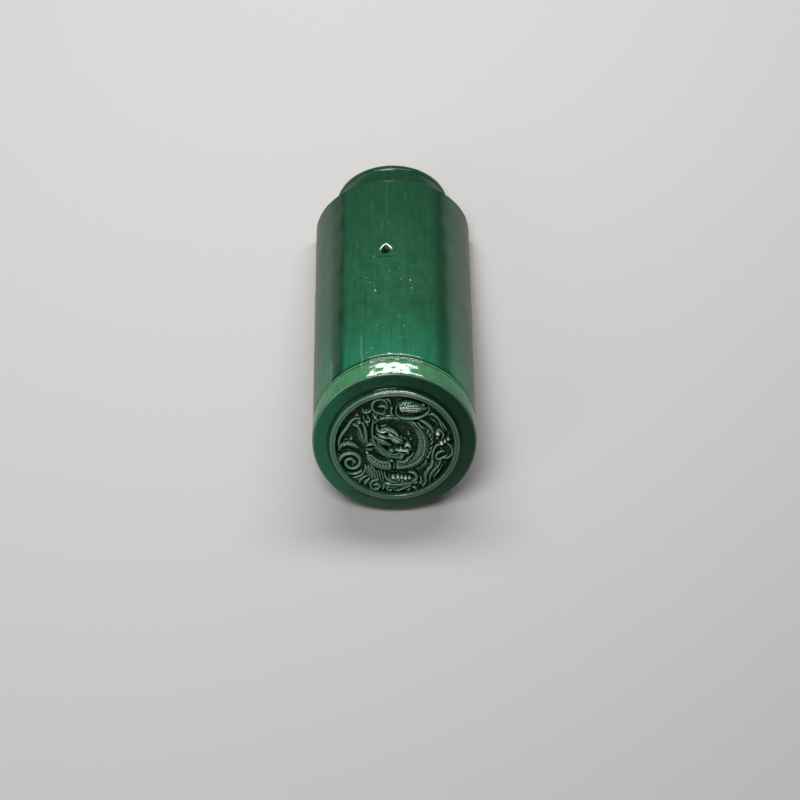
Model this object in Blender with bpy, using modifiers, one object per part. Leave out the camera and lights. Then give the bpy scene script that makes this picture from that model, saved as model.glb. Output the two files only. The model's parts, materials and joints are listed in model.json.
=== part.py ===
"""A round-ended glazed roof tile: the cap tile that closes a row of barrel tiles at the eave.

The tile is one piece of fired clay. A half-round barrel ends in front in a leaning round disc, whose
face carries a raised ring and a coiled dragon in relief. Behind a shoulder it ends in a narrower
tongue, which slides under the next tile up the roof. A nail hole goes through the crown.

The tile is worked out in its roof frame: the barrel's axis is Y, the disc looks towards -Y, and the
long lower edges lie in the plane z = 0. At the end it is laid down as it rests on flat ground, on the
disc's lower rim and the tongue's lower corners.
"""
import bmesh
import bpy
from math import atan2, cos, degrees, pi, radians, sin, tan
from mathutils import Matrix, Vector

# Driving sizes, in metres and degrees
DISC_RADIUS = 0.075
DISC_THICKNESS = 0.020
DISC_LEAN = 17.0             # how far the face leans back from square to the barrel
DISC_PROUD = 0.0008          # how far the disc's top edge stands over the barrel's crown
RIM_ROUND = 0.0016
BARREL_RADIUS = 0.0735       # outside, at the shoulder
BARREL_FRONT_RADIUS = 0.0745  # outside, where the barrel meets the disc
BARREL_WALL = 0.015
SHOULDER_Y = 0.264           # from the middle of the disc's face, along the barrel
SHOULDER_ROUND = 0.0022
NECK_LENGTH = 0.030          # inside, the stretch that narrows from the barrel to the tongue
NECK_STEP = 0.010            # inside, how far the narrow bore runs in past the shoulder
TONGUE_RADIUS = 0.0535
TONGUE_WALL = 0.012
TONGUE_LENGTH = 0.0385
TONGUE_ROUND = 0.0015
GROOVE_WIDTH = 0.0016
GROOVE_DEPTH = 0.0010
GROOVE_FROM_END = 0.0055
NAIL_HOLE_RADIUS = 0.0050
NAIL_HOLE_POINT = 1.35       # the hole's upper end is drawn out to a point
NAIL_HOLE_BEFORE_SHOULDER = 0.090
NAIL_HOLE_TO_THE_LEFT = 0.0065

# The raised ring round the relief, measured on the disc
RING_FOOT_RADIUS = 0.0605
RING_CREST_OUTER = 0.0585
RING_CREST_INNER = 0.0545
RING_HEIGHT = 0.0050
FIELD_RADIUS = 0.0525
FIELD_DEPTH = 0.0015         # the ground of the relief lies this far behind the border

# How finely round shapes are faceted
DISC_STEPS = 72
BARREL_STEPS = 36
HOLE_STEPS = 16
MERGE = 0.00001

# The carving is written for a disc of 150 mm, in millimetres, and grows with the disc
CARVING_UNIT = DISC_RADIUS / 75.0
BROAD_STRAND = 3.0           # half width, in millimetres, from which a strand is rounded more finely

# How a strand's girth runs from its start to its end, as shares of its full girth
USUAL = (0.4, 0.85, 1.0, 1.0, 0.85, 0.4)
TO_A_ROOT = (0.4, 0.8, 1.0, 1.0)
TO_A_TIP = (1.0, 1.0, 0.8, 0.35)
EVEN = (1.0, 1.0)

LEAN = radians(DISC_LEAN)
FACE_CENTRE_Z = BARREL_FRONT_RADIUS + DISC_PROUD - DISC_RADIUS * cos(LEAN)


def clear_scene():
    for old in list(bpy.data.objects):
        bpy.data.objects.remove(old, do_unlink=True)


def new_collection(name):
    made = bpy.data.collections.new(name)
    bpy.context.scene.collection.children.link(made)
    return made


def glaze_material():
    glaze = bpy.data.materials.new("green_glaze")
    glaze.use_nodes = True
    shader = glaze.node_tree.nodes["Principled BSDF"]
    shader.inputs["Base Color"].default_value = (0.035, 0.115, 0.062, 1.0)
    shader.inputs["Roughness"].default_value = 0.22
    shader.inputs["Metallic"].default_value = 0.0
    return glaze


def object_from_bmesh(name, bm, collection):
    mesh = bpy.data.meshes.new(name)
    bm.to_mesh(mesh)
    bm.free()
    made = bpy.data.objects.new(name, mesh)
    collection.objects.link(made)
    return made


def evaluated_mesh(thing):
    graph = bpy.context.evaluated_depsgraph_get()
    return bpy.data.meshes.new_from_object(thing.evaluated_get(graph), depsgraph=graph)


def freeze(thing):
    """Turns an object's modifiers into plain mesh."""
    mesh = evaluated_mesh(thing)
    thing.modifiers.clear()
    thing.data = mesh
    return thing


def as_cutter(thing):
    thing.hide_render = True
    thing.display_type = 'WIRE'
    return thing


def combine(target, other, operation, crossing=False):
    """Joins or cuts with an exact Boolean; crossing says that other's own shells overlap."""
    step = target.modifiers.new(operation.lower(), 'BOOLEAN')
    step.operation = operation
    step.solver = 'EXACT'
    step.use_self = crossing
    step.object = other
    freeze(target)
    return target


# The barrel, its shoulder and its tongue: one profile, swept through half a turn

def barrel_profile():
    """The wall's outline as (along the barrel, radius), out along the outside and back inside."""
    end = SHOULDER_Y + TONGUE_LENGTH
    groove = end - GROOVE_FROM_END
    bore = TONGUE_RADIUS - TONGUE_WALL
    outside = [
        (0.0, BARREL_FRONT_RADIUS),
        (SHOULDER_Y - SHOULDER_ROUND, BARREL_RADIUS),
        (SHOULDER_Y - 0.3 * SHOULDER_ROUND, BARREL_RADIUS - 0.3 * SHOULDER_ROUND),
        (SHOULDER_Y, BARREL_RADIUS - SHOULDER_ROUND),
        (SHOULDER_Y, TONGUE_RADIUS),
        (groove - GROOVE_WIDTH, TONGUE_RADIUS),
        (groove - 0.5 * GROOVE_WIDTH, TONGUE_RADIUS - GROOVE_DEPTH),
        (groove, TONGUE_RADIUS),
        (end - TONGUE_ROUND, TONGUE_RADIUS),
        (end, TONGUE_RADIUS - TONGUE_ROUND),
    ]
    inside = [
        (end, bore),
        (SHOULDER_Y - NECK_STEP, bore),
        (SHOULDER_Y - NECK_STEP - NECK_LENGTH, BARREL_RADIUS - BARREL_WALL),
        (0.0, BARREL_FRONT_RADIUS - BARREL_WALL),
    ]
    return outside + inside


def make_barrel(collection):
    bm = bmesh.new()
    outline = [bm.verts.new((radius, y, 0.0)) for y, radius in barrel_profile()]
    wall = bm.faces.new(outline)
    bmesh.ops.spin(
        bm, geom=[wall] + wall.edges[:] + outline, cent=(0, 0, 0), axis=(0, 1, 0),
        dvec=(0, 0, 0), angle=-pi, steps=BARREL_STEPS, use_duplicate=False)
    # the front end is cut on the disc's lean and ends inside the disc
    half_depth = 0.5 * DISC_THICKNESS
    for vert in bm.verts:
        if abs(vert.co.y) < MERGE:
            vert.co.y = half_depth + (vert.co.z - FACE_CENTRE_Z) * tan(LEAN)
    bmesh.ops.recalc_face_normals(bm, faces=bm.faces)
    return object_from_bmesh("cap_tile", bm, collection)


# The disc: turned in its own frame, where Z points out of the face and Y up it

def disc_frame():
    """Places the disc's own frame in the tile's roof frame."""
    across = Vector((1.0, 0.0, 0.0))
    up = Vector((0.0, sin(LEAN), cos(LEAN)))
    out = Vector((0.0, -cos(LEAN), sin(LEAN)))
    frame = Matrix((across, up, out)).transposed().to_4x4()
    frame.translation = (0.0, 0.0, FACE_CENTRE_Z)
    return frame


def disc_profile():
    """The disc's outline as (radius, height over the border), from the field's middle outwards."""
    back = -DISC_THICKNESS
    return [
        (0.0, -FIELD_DEPTH),
        (FIELD_RADIUS, -FIELD_DEPTH),
        (RING_CREST_INNER, RING_HEIGHT),
        (RING_CREST_OUTER, RING_HEIGHT),
        (RING_FOOT_RADIUS, 0.0),
        (DISC_RADIUS - RIM_ROUND, 0.0),
        (DISC_RADIUS - 0.3 * RIM_ROUND, -0.3 * RIM_ROUND),
        (DISC_RADIUS, -RIM_ROUND),
        (DISC_RADIUS, back + RIM_ROUND),
        (DISC_RADIUS - RIM_ROUND, back),
        (0.0, back),
    ]


def make_disc(collection):
    bm = bmesh.new()
    points = [bm.verts.new((radius, 0.0, z)) for radius, z in disc_profile()]
    for one, two in zip(points, points[1:]):
        bm.edges.new((one, two))
    # half a step of turn lays a flat facet, and not a corner, at the lowest point of the rim
    bm.transform(Matrix.Rotation(pi / DISC_STEPS, 4, 'Z'))
    disc = object_from_bmesh("disc", bm, collection)
    turn = disc.modifiers.new("turn", 'SCREW')
    turn.steps = DISC_STEPS
    turn.render_steps = DISC_STEPS
    turn.use_merge_vertices = True
    turn.merge_threshold = MERGE
    freeze(disc)
    # the rim runs along the barrel, not square to the face, so that the two flow together
    for vert in disc.data.vertices:
        if vert.co.z < 0.0:
            vert.co.y -= vert.co.z * tan(LEAN)
    return disc


# The dragon: strands are bent ridges, given in millimetres on the disc as (across, up)

def bow(start, pull, end, count=7):
    """A strand from start to end, drawn towards pull."""
    points = []
    for step in range(count):
        t = step / (count - 1)
        weights = ((1 - t) ** 2, 2 * t * (1 - t), t * t)
        points.append(tuple(
            sum(w * p[axis] for w, p in zip(weights, (start, pull, end))) for axis in (0, 1)))
    return points


def spine(root, angle, length):
    """A short straight spine from root; angle in degrees from the right."""
    turn = radians(angle)
    steps = (0.0, 0.6, 1.0)
    return [(root[0] + length * t * cos(turn), root[1] + length * t * sin(turn)) for t in steps]


def curl(centre, first_radius, last_radius, first_angle, turn, count=12):
    """A spiral round centre; angles in degrees from the right, positive turn is anticlockwise."""
    points = []
    for step in range(count):
        t = step / (count - 1)
        radius = first_radius + (last_radius - first_radius) * t
        angle = radians(first_angle + turn * t)
        points.append((centre[0] + radius * cos(angle), centre[1] + radius * sin(angle)))
    return points


def dragon_strands():
    """Each strand as (points, half width, height), with its swell where it isn't the usual one."""
    body = [
        (curl((3, 2.6), 23.2, 24.4, 176, -290, 26), 5.6, 6.2, (0.42, 0.5, 0.62, 0.96, 1, 0.94, 0.86)),
        (curl((2.4, 3), 24.6, 31, -102, -104, 10), 4.9, 5.6, (1, 0.85, 0.35)),
        (bow((-20.3, 9), (-17, -9), (2, -11)), 4.6, 5.2, (0.5, 0.8, 1)),
        (bow((-2, -11), (10, -12), (6, 1)), 4.8, 5.6, (0.95, 1, 0.8)),
    ]
    head = [
        (bow((7, 0), (4, 8), (-5, 11), 6), 6.0, 7.0, (0.6, 1, 0.8)),
        (bow((-2, 11), (-8, 17), (-15.5, 14), 6), 2.2, 6.6),
        (bow((-16, 20), (-17, 15), (-11, 15.5), 5), 1.5, 6.2),
        (bow((-4, 6), (-9, 9.5), (-16, 10.5), 6), 1.8, 5.8),
        (bow((-6, 19), (2, 18), (6, 6), 6), 1.4, 6.2),
    ]
    foot = [
        (bow((9, -5), (12, 6), (15, -4), 6), 1.8, 6.0),
        (bow((-5, -6), (6, -2), (15, -6), 6), 1.9, 6.4),
        (curl((5, -9), 4.5, 4.5, 200, 150, 6), 1.6, 5.0),
    ]
    cloud = [
        (curl((-12.6, 42), 9, 7.5, -35, 305, 14), 1.8, 5.2),
        (curl((-10.5, 40), 3, 4.5, 150, -170, 6), 1.8, 4.6),
        (bow((-20, 40), (-22, 34), (-28.5, 39), 6), 1.5, 4.2),
        (bow((-7, 49.5), (-3, 49), (-2.7, 44), 5), 1.4, 4.6),
        (bow((-2.7, 40.5), (-3.5, 34), (1, 31), 5), 1.4, 4.6),
    ]
    thigh = [
        (bow((3, 39), (11, 43), (27, 37.5), 7), 6.2, 6.8, (0.6, 1, 1, 0.3)),
        (bow((4, 30), (-1, 38), (9, 46), 7), 1.6, 5.4),
        (bow((5, 29.5), (34, 26), (30.5, 41), 10), 1.5, 5.0),
        (curl((27, 42.5), 3.4, 1.6, -20, 200, 6), 1.6, 4.6),
    ]
    right_strands = [
        (bow((18, 25), (21, 19), (26, 14.5), 5), 1.3, 4.8),
        (bow((21, 25), (24, 20), (29, 17), 5), 1.3, 4.8),
        (bow((23, 27), (34, 24), (35, 9.5), 8), 2.0, 5.0),
        (bow((30.5, 31.5), (40, 38), (46, 14.5), 9), 1.7, 4.4),
        (bow((41, 33), (46, 24), (48.5, 12), 6), 1.2, 3.2),
    ]
    right_scroll = [
        (bow((36.5, 13), (43, 19), (42.5, 5), 7), 2.4, 5.4),
        (bow((37, 3), (42, 1), (48, 6.5), 6), 1.9, 5.6),
        (curl((43.7, -7.5), 9.5, 8, 140, -235, 14), 1.8, 4.8),
        (curl((42.5, -10.5), 3.2, 5.4, 60, 190, 8), 1.8, 4.6),
        (bow((36, -3), (33, -12), (35, -20), 6), 2.0, 4.6, TO_A_ROOT),
        (bow((35.2, -16), (34, -25), (28.5, -32), 6), 2.2, 4.6, EVEN),
        (bow((29, -30), (26.5, -36), (26.5, -45), 6), 2.2, 4.2, TO_A_TIP),
        (bow((42, -15), (39, -25), (33, -31.5), 7), 1.8, 4.4, TO_A_ROOT),
        (bow((33.6, -30), (31, -36), (31, -43), 5), 1.8, 4.0, TO_A_TIP),
        (bow((43, -23.5), (40, -30), (36, -36), 6), 1.2, 3.8),
    ]
    mane = [
        (bow((-50, -5), (-52, 8), (-45, 18), 7), 1.7, 4.4, TO_A_ROOT),
        (bow((-46, 16.5), (-41, 31), (-31, 29), 7), 1.7, 4.4, TO_A_TIP),
        (bow((-34, 25), (-25, 28), (-24.5, 3), 9), 2.2, 5.2),
        (bow((-38, 22), (-31, 21), (-25.5, -1), 8), 1.8, 4.6),
        (bow((-26, -2), (-23, 4), (-18.5, -1), 5), 2.0, 5.2),
    ]
    left_scroll = [
        (curl((-39.5, -18), 3, 12.4, 0, -470, 24), 1.9, 5.0),
        (bow((-50, -4), (-42, 7), (-32, -3), 7), 2.0, 4.8),
        (bow((-28.5, -19), (-30, -34), (-44, -32), 7), 1.8, 3.8),
    ]
    low_waves = [
        (bow((-33.5, -46), (-37, -36), (-25, -35.5), 7), 1.7, 4.2),
        (bow((-29, -47), (-31, -39), (-22, -38), 6), 1.7, 4.2),
        (curl((-19, -47), 7, 2.2, 80, 400, 12), 1.6, 4.4),
        (bow((-12, -42), (-10, -48), (-14, -52.5), 5), 1.5, 4.0),
    ]
    low_foot = [
        (bow((-9.5, -30), (-9, -40), (4, -39.5), 7), 1.7, 5.2),
        (bow((-10, -42), (3, -46), (16, -40), 7), 3.6, 4.8),
        (bow((-3, -34), (5, -38), (15, -35), 6), 3.0, 6.2),
        (curl((14.5, -35), 5.2, 4.6, 110, -190, 8), 1.6, 5.0),
        (curl((16.5, -48.5), 3.6, 3.0, 120, -180, 6), 1.4, 4.2),
        (bow((-4, -47), (1, -52), (0, -53.5), 5), 2.4, 4.0),
        (bow((3, -47), (8, -50), (4, -55), 5), 1.6, 3.8),
        (bow((13, -47), (13, -52), (8, -56), 5), 1.5, 3.6),
    ]
    return (body + head + foot + cloud + thigh + right_strands + right_scroll + mane
            + left_scroll + low_waves + low_foot + comb_strands())


def comb_strands():
    """The rows of short spines along the body, and the tufts of hair under it."""
    right_fins = [
        (spine((29.5 + 1.4 * k, 16.5 - 4.5 * k), -50 - 14 * k, 4.6), 1.2, 5.0, TO_A_TIP)
        for k in range(5)]
    low_fins = [
        (spine((27 - 3.4 * k, -17 - 3.2 * k), -20 - 14 * k, 4.2), 1.1, 4.2, TO_A_TIP)
        for k in range(4)]
    left_fins = [
        (spine((-18.5 - 3 * k, 27.5 - 3 * k), 118 + 6 * k, 5.2), 1.1, 4.4, TO_A_TIP)
        for k in range(3)]
    hair = [
        (bow((-24 + 4 * k, -26), (-20 + 3 * k, -30), (-22 + 3 * k, -36), 4), 1.2, 3.8)
        for k in range(4)]
    return right_fins + low_fins + left_fins + hair


def spread(shares, place, last):
    """Reads the list of shares as an even graph, at place out of last."""
    at = place / last * (len(shares) - 1)
    below = min(int(at), len(shares) - 2)
    return shares[below] + (shares[below + 1] - shares[below]) * (at - below)


def ridge_mesh(points, half_width, height, swell=USUAL):
    """One strand as a bevelled curve, half sunk in the field; swell is its girth from end to end."""
    curve = bpy.data.curves.new("strand", 'CURVE')
    curve.dimensions = '2D'
    curve.fill_mode = 'NONE'
    curve.bevel_depth = half_width * CARVING_UNIT
    curve.bevel_resolution = 1 if half_width >= BROAD_STRAND else 0
    curve.extrude = max(height - half_width, 0.0) * CARVING_UNIT
    curve.use_fill_caps = True
    spline = curve.splines.new('POLY')
    spline.points.add(len(points) - 1)
    for place, (point, (across, up)) in enumerate(zip(spline.points, points)):
        point.co = (across * CARVING_UNIT, up * CARVING_UNIT, 0.0, 1.0)
        point.radius = spread(swell, place, len(points) - 1)
    holder = bpy.data.objects.new("strand", curve)
    bpy.context.scene.collection.objects.link(holder)
    mesh = evaluated_mesh(holder)
    bpy.data.objects.remove(holder, do_unlink=True)
    bpy.data.curves.remove(curve)
    return mesh


def make_dragon(collection):
    """All strands in one mesh, on the ground of the relief."""
    bm = bmesh.new()
    for strand in dragon_strands():
        mesh = ridge_mesh(*strand)
        bm.from_mesh(mesh)
        bpy.data.meshes.remove(mesh)
    bmesh.ops.remove_doubles(bm, verts=bm.verts, dist=MERGE)
    bmesh.ops.recalc_face_normals(bm, faces=bm.faces)
    bm.transform(Matrix.Translation((0.0, 0.0, -FIELD_DEPTH)))
    return object_from_bmesh("dragon", bm, collection)


# The nail hole: punched through the crown, drawn out to a point towards the tongue

def make_nail_punch(collection):
    wall_middle = BARREL_RADIUS - 0.5 * BARREL_WALL
    bm = bmesh.new()
    bmesh.ops.create_cone(
        bm, cap_ends=True, segments=HOLE_STEPS, radius1=NAIL_HOLE_RADIUS, radius2=NAIL_HOLE_RADIUS,
        depth=3.0 * BARREL_WALL)
    for vert in bm.verts:
        if vert.co.y > 0.9 * NAIL_HOLE_RADIUS:
            vert.co.y *= NAIL_HOLE_POINT
    punch = as_cutter(object_from_bmesh("nail_punch", bm, collection))
    punch.location = (
        -NAIL_HOLE_TO_THE_LEFT, SHOULDER_Y - NAIL_HOLE_BEFORE_SHOULDER, wall_middle)
    return punch


# Laying the tile down

def lay_down(tile):
    """Turns the tile about the tongue's lower corners until the disc touches the ground."""
    tail = SHOULDER_Y + TONGUE_LENGTH
    below = [vert.co for vert in tile.data.vertices if vert.co.z < -RIM_ROUND]
    drop = max(atan2(-co.z, tail - co.y) for co in below)
    turn = Matrix.Rotation(-drop, 4, 'X')
    tile.data.transform(turn)
    corners = [vert.co for vert in tile.data.vertices]
    low = Vector([min(co[axis] for co in corners) for axis in range(3)])
    high = Vector([max(co[axis] for co in corners) for axis in range(3)])
    middle = (low + high) / 2
    shift = Matrix.Translation((-middle.x, -middle.y, -low.z))
    tile.data.transform(shift)
    print(f"laid down at {degrees(drop):.2f} degrees, size {[round(v, 4) for v in high - low]}")
    return shift @ turn


def build_tile():
    clear_scene()
    tile_parts = new_collection("glazed_roof_cap_tile")
    cutters = new_collection("cutters")
    tile = make_barrel(tile_parts)
    disc = make_disc(cutters)
    combine(disc, as_cutter(make_dragon(cutters)), 'UNION', crossing=True)
    disc.data.transform(disc_frame())
    combine(tile, as_cutter(disc), 'UNION')
    bpy.context.view_layer.update()
    combine(tile, make_nail_punch(cutters), 'DIFFERENCE')
    laid = lay_down(tile)
    tile.data.materials.clear()
    tile.data.materials.append(glaze_material())
    tile.data.shade_smooth()
    tile.data.set_sharp_from_angle(angle=radians(35))
    return laid


LAID = build_tile()
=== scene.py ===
# %% [markdown]
# # A glazed roof tile with a coiled dragon
# This tile closes a row of barrel tiles at the edge of a roof. It is one piece of fired clay: a half-round
# barrel, a leaning round disc in front, and a narrow tongue behind. The clay is buff where it is bare, and
# green where it was glazed. The solid model is loaded first, because everything made here has to sit
# exactly where that model lies.

# %% Load the solid model
import json
from math import atan2, cos, pi, radians, sin, tan

import bmesh
import bpy
import numpy as np
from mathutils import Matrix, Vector


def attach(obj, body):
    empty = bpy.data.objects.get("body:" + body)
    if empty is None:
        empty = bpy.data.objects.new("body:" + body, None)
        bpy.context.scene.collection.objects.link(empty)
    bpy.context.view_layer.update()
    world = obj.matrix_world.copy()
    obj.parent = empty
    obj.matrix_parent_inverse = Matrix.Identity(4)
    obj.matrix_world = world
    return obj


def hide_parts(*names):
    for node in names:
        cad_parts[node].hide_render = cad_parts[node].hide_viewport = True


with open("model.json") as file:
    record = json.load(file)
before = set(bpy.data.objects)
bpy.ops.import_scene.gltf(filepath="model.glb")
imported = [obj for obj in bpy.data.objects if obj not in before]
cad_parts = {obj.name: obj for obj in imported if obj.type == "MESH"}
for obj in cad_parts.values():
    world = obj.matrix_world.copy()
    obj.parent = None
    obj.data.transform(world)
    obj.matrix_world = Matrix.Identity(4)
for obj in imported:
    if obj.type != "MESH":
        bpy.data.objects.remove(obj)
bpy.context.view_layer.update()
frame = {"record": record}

# %% [markdown]
# ## The tile's own directions
# The tile rests on the low rim of its disc and on its tongue, so its barrel runs downhill from front to
# back. A shape like that is easier to draw lying straight. Here x runs across, y along the barrel away
# from the disc, and z up from the long lower edges, all in millimetres. The record states where the middle
# of the shoulder is and where it faces, and that is enough to lay every drawn point down in its place.

# %% Sizes of the tile, in millimetres and degrees
DISC_RADIUS = 75.0
DISC_THICKNESS = 20.0
DISC_PROUD = 0.8
LEAN = radians(17.0)
BARREL_RADIUS = 73.5
BARREL_FRONT_RADIUS = 74.5
BARREL_WALL = 15.0
SHOULDER_Y = 264.0
SHOULDER_ROUND = 2.2
TONGUE_RADIUS = 53.5
TONGUE_BORE = 41.5
TONGUE_END = 302.5
NECK_FRONT = 224.0
NECK_BACK = 254.0
HOLE_X = -6.5
HOLE_Y = 174.0
HOLE_RADIUS = 5.0
FACE_Z = BARREL_FRONT_RADIUS + DISC_PROUD - DISC_RADIUS * cos(LEAN)

shoulder = next(m for m in frame["record"]["mounts"] if m["name"] == "shoulder")
along = np.array(shoulder["axis"])
across = np.array((1.0, 0.0, 0.0))
upward = np.cross(across, along)
shoulder_middle = (BARREL_RADIUS - SHOULDER_ROUND + TONGUE_RADIUS) / 2
tile_axes = np.array((across, along, upward))
tile_origin = np.array(shoulder["pos_m"]) - (SHOULDER_Y * along + shoulder_middle * upward) / 1000


def laid_down(points):
    """Turns points of the straight tile, in millimetres, into places in the scene, in metres."""
    return tile_origin + (points @ tile_axes) / 1000


print("the straight tile's origin lies at", tile_origin.round(4))

# %% [markdown]
# ## Where the photograph was taken from
# A long lens looks down on the tile from above its disc. The angle comes from how round the disc looks,
# the distance from how much larger the near end looks than the far end, and the lens from the tile's size
# in the frame.

# %% The camera
VIEW_ABOVE = radians(62.9)
VIEW_FROM_LEFT = radians(0.5)
VIEW_DISTANCE = 2.72
VIEW_AIM = np.array((0.0055, -0.076, 0.040))


def placed(name, data):
    """A new object in the scene."""
    made = bpy.data.objects.new(name, data)
    bpy.context.scene.collection.objects.link(made)
    return made


camera_data = bpy.data.cameras.new("camera")
camera_data.lens = 132.3
camera = placed("camera", camera_data)
camera.location = VIEW_AIM + VIEW_DISTANCE * np.array((
    -sin(VIEW_FROM_LEFT) * cos(VIEW_ABOVE), -cos(VIEW_FROM_LEFT) * cos(VIEW_ABOVE), sin(VIEW_ABOVE)))
camera.rotation_euler = (pi / 2 - VIEW_ABOVE, 0.0, -VIEW_FROM_LEFT)
bpy.context.scene.camera = camera
print("the camera stands at", [round(v, 3) for v in camera.location])

# %% [markdown]
# ## The studio
# A pale floor and large soft lamps. Glaze shows its lamps like a mirror, so their size and place decide
# the highlights. One long lamp hangs behind and above the tile, where only the disc's top edge can mirror
# it towards the camera, so the barrel stays green. A broad one hangs overhead, and a weak one stands in
# front on the left.

# %% The floor and the lamps
def soft_lamp(name, direction, distance, size, power):
    """A square lamp that shines at the tile from a direction."""
    data = bpy.data.lights.new(name, 'AREA')
    data.shape = 'RECTANGLE'
    data.size, data.size_y = size
    data.energy = power
    lamp = placed(name, data)
    way = np.array(direction) / np.linalg.norm(direction)
    lamp.location = VIEW_AIM + distance * way
    lamp.rotation_mode = 'QUATERNION'
    lamp.rotation_quaternion = Vector(way).to_track_quat('Z', 'Y')


FLOOR_HALF = 4.0
floor_mesh = bpy.data.meshes.new("floor")
floor_mesh.from_pydata(
    [(x * FLOOR_HALF, y * FLOOR_HALF, 0.0) for x, y in ((-1, -1), (1, -1), (1, 1), (-1, 1))],
    [], [(0, 1, 2, 3)])
floor = placed("floor", floor_mesh)

soft_lamp("lamp_behind", (0.02, 0.62, 0.79), 1.6, (1.8, 0.25), 48.0)
soft_lamp("lamp_above", (-0.18, -0.12, 0.98), 1.6, (0.85, 0.55), 26.0)
soft_lamp("lamp_left", (-0.80, -0.50, 0.60), 1.7, (0.8, 0.8), 8.0)

world = bpy.data.worlds.new("studio")
world.use_nodes = True
world.node_tree.nodes["Background"].inputs["Color"].default_value = (0.93, 0.97, 1.0, 1.0)
world.node_tree.nodes["Background"].inputs["Strength"].default_value = 0.16
bpy.context.scene.world = world
bpy.context.scene.view_settings.view_transform = 'Standard'
print("three lamps and a pale room")

# %% [markdown]
# ## Lines that a carver draws
# The dragon is drawn as a few dozen curved strokes on the disc, in millimetres across and up from its
# middle. A stroke runs smoothly through a handful of points, a curl winds round a middle, and a spine is
# short and straight.

# %% Strokes, curls and spines
def stroke(*places):
    """A smooth line through a few places."""
    p = np.array(places, dtype=float)
    p = np.concatenate(([2 * p[0] - p[1]], p, [2 * p[-1] - p[-2]]))
    t = np.linspace(0.0, 1.0, 7)[:-1, None]
    pieces = [0.5 * (2 * b + (c - a) * t + (2 * a - 5 * b + 4 * c - d) * t ** 2
                     + (3 * b - a - 3 * c + d) * t ** 3)
              for a, b, c, d in zip(p[:-3], p[1:-2], p[2:-1], p[3:])]
    return np.concatenate(pieces + [p[-2:-1]])


def curl(centre, first_radius, last_radius, first_angle, turn):
    """A spiral round centre; angles in degrees from the right, positive turn is anticlockwise."""
    t = np.linspace(0.0, 1.0, max(8, int(abs(turn) / 9)))
    radius = first_radius + (last_radius - first_radius) * t
    angle = np.radians(first_angle + turn * t)
    return np.stack((centre[0] + radius * np.cos(angle), centre[1] + radius * np.sin(angle)), axis=1)


def spine(root, angle, length):
    """A short straight line from root; angle in degrees from the right."""
    tip = (root[0] + length * cos(radians(angle)), root[1] + length * sin(radians(angle)))
    return np.array((root, tip))


print("a stroke through four places has", len(stroke((0, 0), (5, 2), (9, 1), (12, -3))), "points")

# %% [markdown]
# ## A round sheet of clay
# Relief could be cut from a block with hundreds of solid strokes, but the grooves between scales are only
# half a millimetre wide. A height map is finer and never leaves a gap: a grid of points covers the round
# field, and every stroke lifts the points under it. A square grid is squeezed into a circle so that its
# cells stay even and its outermost points form a clean ring.

# %% The round grid
GRID = 240
GRID_RADIUS = 61.0


def round_grid(count, radius):
    line = np.linspace(-1.0, 1.0, count + 1)
    a, b = np.meshgrid(line, line)
    wide = np.abs(a) >= np.abs(b)
    reach = np.where(wide, a, b)
    turn = (pi / 4) * np.where(wide, b, a) / np.where(reach == 0.0, 1.0, reach)
    u = radius * reach * np.where(wide, np.cos(turn), np.sin(turn))
    v = radius * reach * np.where(wide, np.sin(turn), np.cos(turn))
    return u, v


grid_u, grid_v = round_grid(GRID, GRID_RADIUS)
grid_r = np.hypot(grid_u, grid_v)
print("grid points on the relief:", grid_u.size)

# %% [markdown]
# ## Lifting a stroke out of the clay
# For each grid point near a stroke, three numbers are found: how far it is from the stroke, how far along
# the stroke it lies, and on which side. The first gives the rounded ridge. The other two let scales,
# plates and hair follow every bend.

# %% Distance to a stroke
def nearest_on(points, u, v):
    """Distance from a stroke, distance along it, signed distance to its left, and its length."""
    far = np.full(u.shape, 1e9)
    way = np.zeros(u.shape)
    side = np.zeros(u.shape)
    walked = 0.0
    for (x, y), (dx, dy) in zip(points[:-1], np.diff(points, axis=0)):
        length = float(np.hypot(dx, dy)) or 1e-6
        t = np.clip(((u - x) * dx + (v - y) * dy) / length ** 2, 0.0, 1.0)
        gap_u = u - x - t * dx
        gap_v = v - y - t * dy
        gap = np.hypot(gap_u, gap_v)
        closer = gap < far
        far[closer] = gap[closer]
        way[closer] = walked + t[closer] * length
        side[closer] = ((dx * gap_v - dy * gap_u) / length)[closer]
        walked += length
    return far, way, side, walked


found = nearest_on(stroke((0, 0), (9, 0)), np.array([4.0]), np.array([3.0]))
print("a point's distance, way and side:", [round(float(value[0]), 2) for value in found[:3]])

# %% [markdown]
# ## What is cut into a stroke
# Scales overlap in staggered rows, belly plates are cut straight across, hair is cut lengthwise, and beads
# sit in a row along one edge. Each is a small wave that is added to the ridge. A smooth swell pushes the
# scales a little out of line, since no carver cuts them all alike.

# %% Scales, plates, hair and beads
def share_of(value):
    """The value, held between 0 and 1."""
    return np.clip(value, 0.0, 1.0)


def bell(value):
    """1 at 0, and falling off smoothly on both sides."""
    return np.exp(-value ** 2)


def dome(value):
    """The height of a dome where value goes from 0 in its middle to 1 at its edge."""
    return np.sqrt(np.clip(1.0 - value, 0.0, None))


def wobble(a, b, size, seed):
    """A smooth random swell over two coordinates, between about -1 and 1."""
    total = 0.0
    for k in range(5):
        turn = seed * 1.7 + k * 2.4
        pitch = (2 * pi / size) * (0.7 + 0.23 * k)
        total = total + np.sin(pitch * (a * cos(turn) + b * sin(turn)) + seed * 3.1 + k * k)
    return total / 3.2


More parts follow.
